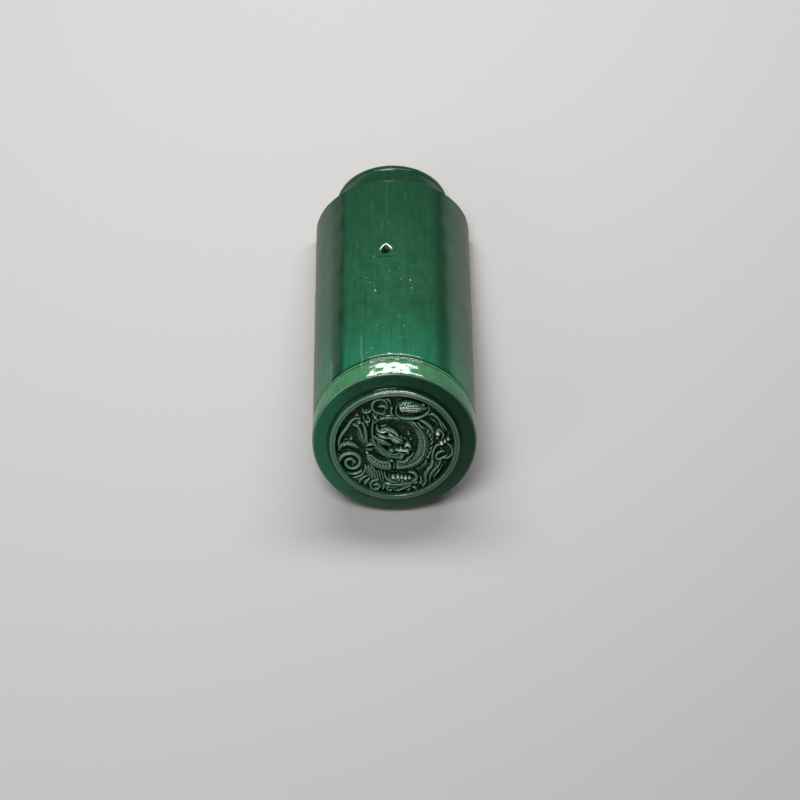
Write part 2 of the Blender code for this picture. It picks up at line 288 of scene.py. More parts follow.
def scales(way, side, half_width, size):
    way = way + 0.25 * size * wobble(way, side, 5.0 * size, 7)
    side = side + 0.25 * size * wobble(way, side, 4.0 * size, 8)
    column = np.floor(side / size)
    row = way / size + 0.5 * (column % 2)
    across_one = side / size - column - 0.5
    along_one = row - np.floor(row) - 0.5
    return 0.75 * size * (dome(2.6 * (across_one ** 2 + along_one ** 2)) - 0.8)


def plates(way, side, half_width, size):
    return 0.55 * size * (np.abs(np.sin(pi * way / size)) ** 0.7 - 0.8)


def hair(way, side, half_width, size):
    return 0.26 * size * np.cos(2 * pi * side / size)


def back_and_belly(way, side, half_width, size):
    """The dragon's trunk: scales outside the coil, a seam, and belly plates inside it."""
    back = 0.6 * scales(way, side, half_width, size)
    belly = plates(way, side, half_width, size) - 0.5
    seam = -0.7 * bell((side + 0.05 * half_width) / 0.55)
    return np.where(side > -0.05 * half_width, back, belly) + seam


def beaded(way, side, half_width, size):
    """Pits in a row along the inner edge, and scales below them."""
    row = bell(side + 0.45 * half_width)
    pits = -1.6 * row * np.clip(np.cos(2 * pi * way / (1.5 * size)), -0.3, 1.0)
    return pits + 0.7 * (1.0 - row) * scales(way, side, half_width, size)


sample = scales(np.linspace(0.0, 30.0, 200), 0.0, 5.0, 3.0)
print("scales of 3 mm rise", round(sample.max(), 2), "and sink", round(-sample.min(), 2), "mm")

# %% [markdown]
# ## Heights that look right from the camera
# The strokes are placed as they are seen from the camera, level with the crest of the ring. The camera
# looks at the disc from a little above, so what lies lower than the crest would seem to be higher up.
# Each stroke is therefore moved down by the share that its own height asks for. The mould also sat a
# little low and to the right on the disc.

# %% Lifting strokes and knobs
USUAL = (0.45, 0.85, 1.0, 1.0, 0.85, 0.45)
TO_A_TIP = (1.0, 1.0, 0.8, 0.35)
EVEN = (1.0, 1.0)
FIELD_DEPTH = 1.5
RING_HEIGHT = 5.0
ROUND_END = 1.4
MOULD_X = 0.3
MOULD_Y = -0.7
TILE_PITCH = atan2(-along[2], along[1])
seen_higher = tan(VIEW_ABOVE - LEAN - TILE_PITCH)


def seen_shift(tall):
    return np.array((MOULD_X, MOULD_Y - seen_higher * (RING_HEIGHT + FIELD_DEPTH - tall)))


def lift(height, points, half_width, tall, swell=USUAL, cut=None, size=2.5):
    """Raises a stroke through places, or a ready line; swell is its girth from end to end."""
    line = stroke(*points) if isinstance(points, tuple) else points
    points = line + seen_shift(tall)
    reach = half_width + 1.0
    low = points.min(axis=0) - reach
    high = points.max(axis=0) + reach
    near = (grid_u > low[0]) & (grid_u < high[0]) & (grid_v > low[1]) & (grid_v < high[1])
    far, way, side, total = nearest_on(points, grid_u[near], grid_v[near])
    girth = np.interp(way / total, np.linspace(0.0, 1.0, len(swell)), swell)
    width = half_width * girth
    width = np.where((way <= 0.0) | (way >= total), np.minimum(width, ROUND_END), width)
    ridge = tall * (0.35 + 0.65 * girth) * dome((far / width) ** 2.1)
    if cut:
        ridge = ridge + cut(way, side, width, size) * share_of(3.0 * (1.0 - far / width))
    height[near] = np.where(far < width, np.maximum(height[near], ridge - FIELD_DEPTH), height[near])


def knob(height, centre, radius, tall):
    """Raises one round lump."""
    centre = np.array(centre) + seen_shift(tall)
    gap = np.hypot(grid_u - centre[0], grid_v - centre[1]) / radius
    lump = tall * dome(gap ** 2) - FIELD_DEPTH
    height[:] = np.where(gap < 1.0, np.maximum(height, lump), height)


print("the camera looks", round(np.degrees(np.arctan(seen_higher)), 1), "degrees off the disc's face")

# %% [markdown]
# ## The dragon's trunk and head
# The dragon lies coiled once round the middle with its head turned back to the left, over one forepaw.
# The trunk is the broadest stroke. Its head is built up of skull, brow, upper lip and jaw, because those
# edges catch the light even from far away.

# %% Trunk, head and forepaw
TRUNK = [
    (((-17.5, 23), (-13, 27), (-4, 28.2), (5, 27.3), (14, 24.5), (20.5, 18.5), (24.8, 10), (26, 2),
            (25, -7), (21.5, -14.5), (15.5, -19.5), (8, -22), (1.4, -22.8)), 5.9, 5.6,
     (0.32, 0.33, 0.34, 0.42, 0.62, 0.85, 1, 1, 1, 1, 0.95, 0.88), back_and_belly, 2.5),
    (((-3.5, -23), (-10, -23), (-17, -20.3), (-22.5, -15), (-25.5, -8)), 4.9, 5.4,
     (1, 1, 0.9, 0.7, 0.3), beaded, 2.0),
    (((-19.6, 24), (-20.3, 17), (-20, 10), (-17, 1), (-11, -6.5), (-3, -11), (5, -12), (10, -9)),
     4.0, 5.2, (0.45, 0.45, 0.5, 0.8, 1, 1, 0.8, 0.5), hair, 2.2),
]
TRUNK_EDGES = [
    (((-22, -11.5), (-17, -15.6), (-12, -18.4), (-7, -19.2), (-4, -17.5)), 1.0, 6.4),
    (((1, -17.8), (5, -18.4), (9.5, -17), (13.5, -13.5), (16.5, -11)), 1.0, 6.4),
    (((30.5, 9), (31.4, 2), (30.5, -4), (28, -10.5), (24, -16.5), (18, -21), (10, -24.6)), 0.9, 4.8),
    (((-1.2, -17), (-0.6, -22), (-1.4, -27.5)), 0.9, 5.6),
]
HEAD = [
    (((7, 1.5), (3, 5.5), (-2, 8.5), (-6, 8)), 5.2, 6.6, (0.5, 1, 1, 0.6), hair, 2.2),
    (((3.5, 8), (1.5, 12.5), (-2.5, 16), (-7, 17.5), (-12, 17.6)), 2.0, 6.2),
    (((-16, 20), (-15.6, 17), (-12, 15), (-7, 15.2), (-5, 13.8)), 1.6, 6.9),
    (((-16, 11.2), (-11.5, 10.2), (-8.5, 8.7), (-6, 6.6)), 1.5, 7.0),
    (((-4.8, 15.6), (-4.9, 13), (-3, 11.4), (1, 8.4)), 1.2, 7.8),
    (((-0.5, 14), (2.2, 11.5), (3.6, 8)), 0.9, 7.2),
    (((-18.5, 9.5), (-14, 4.4), (-9, -0.5)), 1.1, 6.0),
    (((-15.5, 8.2), (-11, 4), (-6.5, -1)), 1.1, 6.2),
    (((-21, 7), (-18.5, 2), (-14, -3), (-9, -7.5)), 1.1, 5.9),
    (((-12.5, 7.4), (-8, 3.2), (-3, -1.5)), 1.0, 6.4),
]
FOREPAW = [
    (((8.6, -3.5), (10.2, 0), (11.8, 1.2), (13.4, -1), (14.6, -4.5)), 1.9, 6.9),
    (((0, -6.3), (5, -5), (10, -5.6), (14.5, -5.4)), 2.3, 7.0),
    (curl((4.4, -11.2), 3.0, 2.6, 200, 320), 1.2, 6.0),
    (((11, -6), (12.2, -7.6), (11.6, -10)), 1.2, 6.4),
    (((-5.5, -6.4), (-3, -5), (-0.5, -8)), 1.1, 6.4),
]
print(len(TRUNK) + len(TRUNK_EDGES) + len(HEAD) + len(FOREPAW), "strokes for trunk, head and forepaw")

# %% [markdown]
# ## Clouds, thigh and mane
# Round the coil lie the scaly thigh at the top, a cloud scroll beside it, the mane that flows down on the
# left into a large scroll, and the tufts and tails on the right.

# %% Upper half: cloud, thigh and the strands to the right
CLOUD = [
    (((-6, 39), (-6.6, 44), (-9, 48.8), (-13.5, 50.4), (-18, 48.6), (-20, 44), (-19.5, 39.5),
            (-17, 36), (-13, 34), (-8.5, 34)), 1.5, 5.2),
    (((-14.5, 41.6), (-11.5, 43), (-8, 41.8), (-8.4, 38)), 1.4, 4.6),
    (((-28.6, 40), (-28.4, 37), (-25, 36.3), (-22, 38), (-20, 41.5)), 1.3, 3.8),
    (((-8, 50.2), (-5, 49), (-3.6, 46), (-3, 43.6)), 1.2, 4.8),
    (((-2.7, 41), (-3, 36), (-1.5, 32.5), (0.5, 31)), 1.3, 5.6),
]
THIGH = [
    (((5, 39), (11, 40.6), (18, 39.2), (28, 37.8)), 7.6, 8.2, (0.75, 1, 0.8, 0.25), scales, 2.3),
    (((3, 45), (1.4, 40), (1.6, 34.5), (5, 30.6), (11, 29.4), (18, 29.6), (25, 31.4), (30, 35.5),
            (31, 40.5), (29, 45)), 1.25, 5.2),
    (((3.5, 41), (6.5, 45.2), (10.5, 46.6), (15, 44.4), (20.5, 41.2), (27.5, 38.4)), 1.3, 6.6),
]
RIGHT_STRANDS = [
    (((17.5, 24.6), (21, 19.8), (25.5, 15.2)), 1.15, 6.2),
    (((20.6, 24), (24, 20.6), (28.6, 17.2)), 1.15, 6.2),
    (((22.8, 27), (28, 24), (32.3, 19.6), (34.6, 14.5), (35, 9.6)), 1.9, 5.6),
    (((30, 32), (33.5, 34), (37.5, 31), (40.4, 27), (42.4, 21), (45.5, 15)), 1.5, 4.8),
    (((42, 27), (45, 21), (48.4, 14.5)), 1.1, 3.8),
    (((33, 28.4), (37, 26.4), (40, 20)), 0.8, 3.0),
]
print(len(CLOUD) + len(THIGH) + len(RIGHT_STRANDS), "strokes for the upper half")

# %% Right: the hook, the scroll and the tails
RIGHT_SCROLL = [
    (((36.4, 15), (39.5, 16.8), (43, 14.4), (44, 10), (42, 5.6)), 1.4, 5.2),
    (((34.6, -21), (34, -14), (35, -6), (37.5, -0.8), (42, 1.4)), 1.5, 5.0),
    (((46.5, 2.4), (50.6, -1.2), (52.4, -6.4), (51, -11), (47, -14), (43.5, -14.6)), 1.5, 4.8),
    (((45.6, -7.2), (42.4, -6.8), (38.8, -8.8), (37.2, -12), (39, -15), (43, -13.9), (47.5, -11)),
     1.4, 4.8),
    (((34.8, -17), (33.4, -22.5), (29.6, -28), (28, -33.5), (28, -39), (25.5, -44)), 2.2, 4.8,
     EVEN, hair, 1.9),
    (((42, -16.5), (39.8, -22), (35.6, -27), (32.6, -31.5), (32, -37), (30.6, -42)), 1.5, 4.6),
    (((43, -22.6), (39.8, -28), (36.6, -33), (35.4, -38)), 0.95, 4.2),
    (((37, -17), (37.2, -20), (36, -24)), 0.8, 4.0),
    (((53, 6), (50, 9), (48.6, 12)), 0.9, 3.2),
]
MANE = [
    (((-51, -6), (-50.6, 5), (-47.6, 13), (-43, 20), (-40, 25.4), (-36.5, 29), (-31, 29.4)),
     1.7, 4.8),
    (((-34, 25.6), (-30, 25), (-27.4, 21), (-26, 13), (-25.6, 5), (-23.5, 0)), 1.9, 5.6),
    (((-37.5, 22.6), (-33.2, 20.6), (-30.6, 15), (-29, 8), (-26, 1)), 1.6, 5.2),
    (((-35, 18), (-33, 12), (-31, 4)), 0.8, 3.4),
    (((-28.4, 18), (-27.8, 10), (-26.6, 4)), 0.8, 5.0),
    (((-26.6, -1.6), (-24, 1.4), (-20.5, 1.6), (-18.4, -1)), 1.6, 6.0),
    (((-26, -3), (-22.5, -4), (-20, -3)), 0.9, 4.4),
]
print(len(RIGHT_SCROLL) + len(MANE), "strokes for hook, scroll, tails and mane")

# %% Lower half: the large scroll, the waves and the hind foot
LEFT_SCROLL = [
    (curl((-39.8, -18.0), 2.0, 13.6, 10, 660), 2.0, 5.0, (0.7, 0.9, 1, 1, 1, 0.7)),
    (((-51, -5), (-48.4, 0.4), (-43.6, 2.4), (-38, 1), (-33, -3)), 2.3, 5.4),
    (((-43.5, -31.5), (-38.5, -34.4), (-32.4, -32.8), (-28.2, -28.6), (-26.8, -23)), 1.4, 4.2),
]
LOW_WAVES = [
    (((-31, -43.5), (-32.4, -38.5), (-29.6, -34.8), (-25, -33.4)), 1.8, 4.8),
    (((-27.4, -44.6), (-26.8, -39.6), (-22.6, -35.8)), 1.8, 4.8),
    (((-15.6, -37), (-20.6, -38.6), (-22.6, -42.6), (-20.6, -47), (-16.4, -47.6), (-14.2, -44.6),
            (-15.8, -42), (-18.4, -42.8)), 1.4, 5.0, EVEN),
    (((-10.4, -42), (-10.2, -45.4), (-12, -49)), 1.3, 4.6),
    (curl((-4.6, -47.2), 2.8, 2.2, 60, 290), 1.2, 4.8),
    (((-25.4, -46.6), (-23.4, -49)), 1.0, 4.0),
    (((-36.5, -41), (-35.6, -37), (-31, -34.8)), 0.9, 3.6),
]
HIND_FOOT = [
    (((-9.6, -29.6), (-9, -34), (-6, -37.8), (0, -39.6), (6, -39.6)), 1.5, 5.4),
    (((-8.5, -42), (0, -42.4), (9, -42), (17.5, -41)), 3.4, 5.0, USUAL, hair, 2.0),
    (((-4.5, -36.4), (5, -37), (15, -37.4)), 2.6, 5.8, USUAL, plates, 3.4),
    (((12.6, -30), (17, -30.4), (19.6, -34), (18.6, -38), (15.6, -39.6)), 1.8, 5.2),
    (((15.4, -46.6), (18.6, -46.4), (19.4, -50)), 1.3, 4.4),
    (((17, -41.6), (21, -40)), 1.2, 4.6),
    (((14, -43.4), (8.6, -46.2), (2, -49.4)), 2.0, 4.8, EVEN, hair, 1.8),
    (((14.4, -47), (10.4, -49.8)), 1.3, 4.6),
    (((21.6, -42.4), (24, -39.6), (23.4, -35)), 1.2, 4.6),
    (((-10, -45), (-2, -45.6), (6, -46)), 1.0, 3.8),
]
KNOBS = [
    ((-1.5, -35.2), 2.4, 7.4), ((2.6, -34.8), 2.2, 7.6), ((6.2, -35.4), 2.2, 7.2), ((9.6, -36), 2.3, 7.8),
    ((13, -35.8), 2.0, 7.2), ((39, 12.4), 3.4, 7.2), ((42.4, 2), 2.8, 7.6), ((45.4, 4.2), 2.1, 7.2),
    ((48.2, 6.4), 2.0, 6.8), ((-33.8, 33.4), 1.5, 4.0), ((-39.4, 8), 1.8, 3.6), ((5.4, -4.7), 1.8, 7.8),
    ((11.7, -7.4), 1.4, 7.2), ((-3, -5.6), 1.4, 7.0), ((-2.6, 40.4), 1.4, 6.8), ((26, 44), 1.8, 5.4),
    ((19.4, 45), 1.2, 4.6), ((38.8, 7.8), 1.8, 4.6), ((28.2, -17.4), 1.4, 5.0), ((-45.6, 1.6), 2.0, 6.6),
    ((-2.8, -16.6), 1.5, 7.2), ((-37, -17.6), 1.4, 5.8), ((-31.8, 25.2), 1.8, 6.4), ((9, 8), 1.5, 3.4),
    ((12.6, 12.8), 1.4, 3.0), ((14.6, 7), 1.1, 3.2),
]
print(len(LEFT_SCROLL) + len(LOW_WAVES) + len(HIND_FOOT), "strokes and", len(KNOBS), "knobs below")

# %% [markdown]
# ## Masses, fins and tufts
# Thin strands alone would lie on a flat field like string. On the tile they stand on soft swellings, so a
# broad low stroke is drawn under each bundle. Fins, spikes and tufts are short strokes that narrow to a
# tip. They stand in rows, so loops set most of them out.

# %% Broad low masses under mane, strands, tails and waves
MASSES = [
    (((-33, 24), (-30.5, 16), (-28.5, 8), (-25, 0)), 4.6, 3.6, USUAL, hair, 2.0),
    (((20, 24), (27, 20), (31.5, 13), (33, 4)), 4.4, 3.4, USUAL, hair, 2.0),
    (((38.5, -14), (37, -22), (33, -29), (30.5, -38)), 5.2, 3.4, USUAL, hair, 2.2),
    (((-36, -34), (-28, -39), (-19, -42), (-8, -44), (6, -45), (16, -43)), 5.0, 3.2, USUAL),
    (((-26, -24), (-21, -31), (-16, -37)), 5.6, 3.4, USUAL, hair, 2.2),
]
print(len(MASSES), "broad masses")

# %% Fins, spikes and tufts
BACK_FINS = ((29.6, 13.2, 72), (31.2, 9.6, 58), (32.6, 6, 52), (33, 1.6, 58), (32.2, -4.2, 52),
             (31, -9, 44), (29, -13, 36))
FINS = (
    [(spine((u, v), angle, 3.6), 1.0, 6.2, TO_A_TIP) for u, v, angle in BACK_FINS]
    + [(spine((27 - 1.7 * k, -19.6 - 1.5 * k), -28 - 6 * k, 4.2), 0.75, 4.6, TO_A_TIP) for k in range(5)]
    + [(spine((-15.2, 27.4), 130, 7.0), 1.1, 5.4, TO_A_TIP),
       (spine((-18, 30.2), 48, 3.6), 0.9, 5.0, TO_A_TIP),
       (((-24, 22), (-25.4, 25), (-28.2, 28.6)), 1.1, 5.4, TO_A_TIP),
       (((-25.4, 25.2), (-22.4, 27.8), (-24.8, 31.8)), 1.1, 5.4, TO_A_TIP)])
TUFTS = (
    [(((-24 + 2.7 * k, -25 - 0.3 * k), (-20.6 + 2.2 * k, -30), (-20.4 + 2.4 * k, -36),
             (-18 + 2.0 * k, -40)), 1.0, 4.4) for k in range(5)]
    + [(((-22.6, -21.5), (-19, -25), (-18.4, -30)), 1.0, 4.6)])
print(len(FINS), "fins and spikes,", len(TUFTS), "tufts")

# %% [markdown]
# ## Pressing the relief
# The field starts as a shallow dish with a raised ring round it. Then the strokes rise out of it, broad
# ones first. Clay never keeps a knife edge and glaze rounds it further, so the map is softened a little.
# Molten glaze leaves the ridges and gathers in the hollows, so how far a point lies below the ridges
# round it is kept as a number for the finish. That number also paints light and shade: the hollows and
# the low field are painted dark as painted shade, and ridge tops lighter as a painted sheen.

# %% The height map
RING_PROFILE = (
    # distance from the middle, height, how deep the glaze lies on it (which also paints shade and sheen)
    (0.0, 52.4, 53.2, 54.2, 55.0, 56.0, 57.2, 57.9, 58.5, 59.0, 59.5, 60.1, 80.0),
    (-1.5, -1.5, 1.0, 4.3, 5.0, 4.5, 4.5, 4.9, 4.7, 4.1, 2.7, 0.0, 0.0),
    (1.0, 1.0, 0.8, 0.25, 0.0, 0.18, 0.18, 0.0, -0.05, 0.1, 0.6, 0.9, 0.5))
RING_FOOT = 53.0
RIDGE_REACH = 7
SOFT_STEPS = 12


def neighbours(values):
    """The values one step away on the grid, on four sides."""
    around = np.pad(values, 1, mode='edge')
    return around[:-2, 1:-1], around[2:, 1:-1], around[1:-1, :-2], around[1:-1, 2:]


def softened(values, times):
    for _ in range(times):
        values = sum(neighbours(values), 4.0 * values) / 8.0
    return values


def ridges_nearby(values, steps):
    for _ in range(steps):
        values = np.max((values, *neighbours(values)), axis=0)
    return values


mould_r = np.hypot(grid_u - MOULD_X, grid_v - MOULD_Y)
relief = np.interp(mould_r, *RING_PROFILE[:2])
relief = relief + np.where(mould_r < RING_FOOT, 0.2 * wobble(grid_u, grid_v, 6.0, 1), 0.0)
for line in MASSES + TRUNK + HEAD[:1] + THIGH[:1] + HIND_FOOT[1:3]:
    lift(relief, *line)
for line in (TRUNK_EDGES + HEAD[1:] + FOREPAW + CLOUD + THIGH[1:] + RIGHT_STRANDS + RIGHT_SCROLL + MANE
             + LEFT_SCROLL + LOW_WAVES + HIND_FOOT[:1] + HIND_FOOT[3:] + FINS + TUFTS):
    lift(relief, *line)
for centre, radius, tall in KNOBS:
    knob(relief, centre, radius, tall)
relief = softened(relief, 1)
relief = relief + np.where(mould_r > RING_FOOT, 0.12 * wobble(grid_u, grid_v, 12.0, 3), 0.0)
relief[grid_r > GRID_RADIUS - 0.1] = 0.0
# How far a point lies below the ridges sets the glaze depth: deep glaze is painted dark, partly pooled
# glaze and partly painted shade in the hollows, the low field and the ring's foot.
ridge_line = softened(ridges_nearby(relief, RIDGE_REACH), SOFT_STEPS)
hollow = softened(relief, SOFT_STEPS) - relief
low_lying = 0.7 * share_of((1.5 - relief) / 3.0)
relief_depth_and_shading = np.clip(0.1 + (ridge_line - relief) / 5.0 + hollow + low_lying, -0.3, 1.0)
ring_depth_and_shading = np.interp(mould_r, RING_PROFILE[0], RING_PROFILE[2])
relief_depth_and_shading = np.where(mould_r > RING_FOOT + 0.2, ring_depth_and_shading, relief_depth_and_shading)
print("the relief runs from", round(float(relief.min()), 2), "to", round(float(relief.max()), 2), "mm")

# %% [markdown]
# ## The disc
# The disc is a thick slab. Its face leans back, but its rim runs along the barrel, so that
# the two flow together. At the top the rim swells towards the back, and a line is scored round it, where
# the disc was luted to the barrel. Rings of points carry on from the relief over the border, round the
# rim and on to the back.

# %% Points of the disc
RIM = (
    # radius, how far out of the face, how far it is raised at the top, how deep the glaze is (which also
    # paints shade and sheen)
    (63.0, 0.0, 0.0, 0.55), (66.0, 0.0, 0.0, 0.5), (69.0, 0.0, 0.0, 0.5), (71.5, 0.0, 0.0, 0.45),
    (73.0, -0.05, 0.0, 0.3), (73.9, -0.35, -0.1, 0.05), (74.5, -0.9, -0.3, 0.1), (74.8, -1.8, -0.4, 0.35),
    *((74.9, -back, 0.1 * back - 0.65, 0.45) for back in (3.0, 5.0, 7.0, 9.0, 11.0, 13.0)),
    (74.8, -14.6, 0.75, 0.5), (74.3, -15.2, 0.7, 1.0), (74.2, -15.7, 0.7, 1.0), (74.7, -16.4, 0.75, 0.4),
    (74.7, -17.6, 0.7, 0.4), (74.3, -18.8, 0.5, 0.5), (73.4, -19.6, 0.0, 0.9), (72.4, -20.0, 0.0, 1.0))
# how far rim and barrel are drawn in, so that their lumps stay within the solid's box
INSET = 0.15


def on_the_disc(u, v, out):
    """Places on the leaning disc; behind the face they shift so that the rim follows the barrel."""
    behind = np.minimum(out, 0.0)
    v = v - behind * tan(LEAN)
    return np.stack(
        (u, v * sin(LEAN) - out * cos(LEAN), FACE_Z + v * cos(LEAN) + out * sin(LEAN)), axis=-1)


def outer_ring(index):
    """Grid indices once round the outermost points of a round grid."""
    return np.concatenate((index[0, :-1], index[:-1, -1], index[-1, :0:-1], index[:0:-1, 0]))


index = np.arange((GRID + 1) ** 2).reshape(GRID + 1, GRID + 1)
ring = outer_ring(index)
ring_angle = np.arctan2(grid_v.ravel()[ring], grid_u.ravel()[ring])
disc_points = [on_the_disc(grid_u, grid_v, relief).reshape(-1, 3)]
disc_depth_and_shading = [relief_depth_and_shading.ravel()]
crown = share_of(np.sin(ring_angle)) ** 4
for radius, out, raised, depth in RIM:
    lumps = 0.11 * wobble(0.6 * DISC_RADIUS * ring_angle, out, 8.0, 5) * (out < -0.9)
    wide = radius - INSET + raised * crown + lumps
    disc_points.append(on_the_disc(wide * np.cos(ring_angle), wide * np.sin(ring_angle), out))
    disc_depth_and_shading.append(np.full(len(ring), depth))
disc_points = np.concatenate(disc_points)
disc_depth_and_shading = np.concatenate(disc_depth_and_shading)
print("points on the disc:", len(disc_points))

# %% Faces of the disc
disc_faces = np.stack(
    (index[:-1, :-1], index[:-1, 1:], index[1:, 1:], index[1:, :-1]), axis=-1).reshape(-1, 4).tolist()
inner = ring
first = (GRID + 1) ** 2
for _ in RIM:
    outer = np.arange(first, first + len(ring))
    disc_faces += np.stack((inner, outer, np.roll(outer, -1), np.roll(inner, -1)), axis=-1).tolist()
    inner = outer
    first += len(ring)
disc_faces.append(inner[::-1].tolist())

disc_mesh = bpy.data.meshes.new("disc")
disc_mesh.from_pydata(laid_down(disc_points), [], disc_faces)
disc_mesh.shade_smooth()
disc_mesh.set_sharp_from_angle(angle=radians(85))
print("faces on the disc:", len(disc_mesh.polygons))

# %% [markdown]
# ## The barrel and the tongue
# A potter throws a tube and slits it in two. The same tube is drawn here as one outline, out along the
# outside and back along the inside, and every point of it is carried through half a turn. The outside
# starts inside the disc, on its lean. Just behind the disc a crease runs round, where the two were luted
# together. Rows are set closer round the nail hole, whose lip is raised.

# %% Rows along and columns round
def stations(start, end, step, busy_from, busy_to, busy_step):
    """Places from start to end, a step apart, and closer where it is busy."""
    quiet = list(np.arange(start, busy_from, step))
    busy = list(np.arange(busy_from, busy_to, busy_step))
    return np.array(quiet + busy + list(np.arange(busy_to, end, step)) + [end])


hole_angle = atan2(BARREL_RADIUS, HOLE_X)
HOLE_SHARE = 0.635
BUSY_SHARE = 0.05
BUSY_ANGLE = 9.5 / BARREL_RADIUS
columns = stations(radians(6), radians(174), radians(2.6),
                   hole_angle - BUSY_ANGLE, hole_angle + BUSY_ANGLE, 0.7 / BARREL_RADIUS)
lips = np.radians((0.0, 0.3, 0.8, 1.6, 3.2))
columns = np.concatenate((lips, columns, pi - lips[::-1]))
rows_out = stations(0.0, 1.0, 0.0125, HOLE_SHARE - BUSY_SHARE, HOLE_SHARE + BUSY_SHARE, 0.0028)
rows_out = np.sort(np.concatenate((rows_out, np.linspace(0.03, 0.06, 9))))
print(len(rows_out), "rows along the barrel and", len(columns), "columns round it")

# %% The outline of the wall
REAR = SHOULDER_Y - SHOULDER_ROUND
CREASE_BEHIND = 0.6
# how squarely behind the hole's middle a place lies, and how many radii the outline reaches there
POINTED = ((0, 0.37, 0.83, 0.98, 1), (1, 0.93, 0.96, 1.2, 1.35))


def past_hole(x, y):
    """How far a place on the crown lies outside the nail hole, whose rear end is drawn to a point."""
    gap = np.hypot(x - HOLE_X, y - HOLE_Y)
    rearward = share_of((y - HOLE_Y) / np.maximum(gap, 0.01))
    return gap - HOLE_RADIUS * np.interp(rearward, *POINTED)


def disc_back(z):
    """How far along the barrel the disc's back lies at a height."""
    return DISC_THICKNESS / cos(LEAN) + (z - FACE_Z) * tan(LEAN)


def barrel_row(share):
    """One row over the outside of the barrel, share 0 inside the disc and 1 at the shoulder."""
    radius = BARREL_FRONT_RADIUS + (BARREL_RADIUS - BARREL_FRONT_RADIUS) * share
    z = radius * np.sin(columns)
    start = 0.5 * DISC_THICKNESS + (z - FACE_Z) * tan(LEAN)
    y = start + (REAR - start) * share
    behind_disc = y - disc_back(z)
    arc = radius * columns
    crease = 0.9 * bell((behind_disc - CREASE_BEHIND) / 1.6)
    rear_half = share_of((y - HOLE_Y) / HOLE_RADIUS)
    past = past_hole(HOLE_X - (columns - hole_angle) * radius, y)
    lip = (0.1 + 0.4 * rear_half) * bell(past - 1.1)
    waves = 0.16 * wobble(arc, y, 38.0, 2) + 0.05 * wobble(arc, y, 9.0, 4)
    return y, radius - crease + lip + waves - INSET


def plain_row(y, radius):
    return np.full(len(columns), y), radius + 0.06 * wobble(radius * columns, y, 12.0, 6)


wall = [barrel_row(share) for share in rows_out]
for angle in (25, 50, 75):
    wall.append(plain_row(
        REAR + SHOULDER_ROUND * sin(radians(angle)),
        BARREL_RADIUS - SHOULDER_ROUND * (1 - cos(radians(angle)))))
GROOVE_Y = TONGUE_END - 5.5
OVER_THE_TONGUE = (
    (SHOULDER_Y, BARREL_RADIUS - SHOULDER_ROUND - 0.3), (SHOULDER_Y - 0.2, 66.0), (SHOULDER_Y, 60.0),
    (SHOULDER_Y, 55.0), (SHOULDER_Y + 0.7, TONGUE_RADIUS + 0.1), (270.0, TONGUE_RADIUS),
    (280.0, TONGUE_RADIUS), (290.0, TONGUE_RADIUS), (GROOVE_Y - 2.2, TONGUE_RADIUS),
    (GROOVE_Y - 1.6, TONGUE_RADIUS - 0.2), (GROOVE_Y - 0.8, TONGUE_RADIUS - 1.1),
    (GROOVE_Y, TONGUE_RADIUS - 0.2), (GROOVE_Y + 0.6, TONGUE_RADIUS), (TONGUE_END - 1.5, TONGUE_RADIUS),
    (TONGUE_END - 0.4, TONGUE_RADIUS - 0.5), (TONGUE_END - 0.1, TONGUE_RADIUS - 1.5),
    (TONGUE_END - 0.1, 47.0), (TONGUE_END - 0.1, TONGUE_BORE + 0.8))
BACK_INSIDE = (
    (TONGUE_END - 0.8, TONGUE_BORE), (280.0, TONGUE_BORE), (NECK_BACK, TONGUE_BORE),
    (NECK_BACK - 4.0, TONGUE_BORE + 1.4), (NECK_FRONT + 4.0, BARREL_RADIUS - BARREL_WALL - 1.2),
    (NECK_FRONT, BARREL_RADIUS - BARREL_WALL), (200.0, 58.6), (185.0, 58.6), (174.0, 58.7),
    (163.0, 58.7), (140.0, 58.8), (100.0, 59.0), (60.0, 59.2), (32.0, 59.4))
wall += [plain_row(y, radius) for y, radius in OVER_THE_TONGUE]
inside_from = len(wall)
wall += [plain_row(y, radius) for y, radius in BACK_INSIDE]
print(len(wall), "rows in the closed outline")

# %% The shell
def shell_points():
    rows = []
    edge = np.minimum(columns, pi - columns) * BARREL_RADIUS
    blunt = 0.7 * share_of(1.0 - edge) ** 2
    for number, (y, radius) in enumerate(wall):
        radius = radius + (blunt if number >= inside_from else -blunt)
        rows.append(np.stack((radius * np.cos(columns), y, radius * np.sin(columns)), axis=-1))
    return np.array(rows)


points = shell_points()
count_rows, count_columns = points.shape[:2]
index = np.arange(count_rows * count_columns).reshape(count_rows, count_columns)
ahead = np.roll(index, -1, axis=0)
shell_faces = np.stack(
    (index[:, :-1], ahead[:, :-1], ahead[:, 1:], index[:, 1:]), axis=-1).reshape(-1, 4).tolist()
shell_faces.append(index[::-1, 0].tolist())
shell_faces.append(index[:, -1].tolist())
shell_mesh = bpy.data.meshes.new("shell")
shell_mesh.from_pydata(laid_down(points.reshape(-1, 3)), [], shell_faces)
shell = placed("shell", shell_mesh)
print("faces on the shell:", len(shell_mesh.polygons))

# %% [markdown]
# ## The nail hole
# The hole was punched through the soft crown with a pointed tool, so its far end is drawn out to a point.
# A Boolean cut does the same here: a prism with that outline is pushed through the wall and taken away.
# It leaves a few slivers where the prism only just misses a point of the wall. They are merged away, and
# the many-sided faces round the hole are split into triangles.

# %% Punch the hole
PUNCH_HEIGHTS = (50.0, 82.0)
SLIVER = 2e-5
END_FACE_SIDES = 100


def punch_outline(count):
    turn = np.linspace(0.0, 2 * pi, count, endpoint=False)
    rearward = share_of(np.sin(turn))
    x = HOLE_RADIUS * np.cos(turn) * (1.0 - 0.4 * rearward ** 1.5)
    y = HOLE_RADIUS * np.sin(turn) * (1.0 + 0.35 * rearward ** 3)
    return np.stack((HOLE_X + x, HOLE_Y + y), axis=-1)


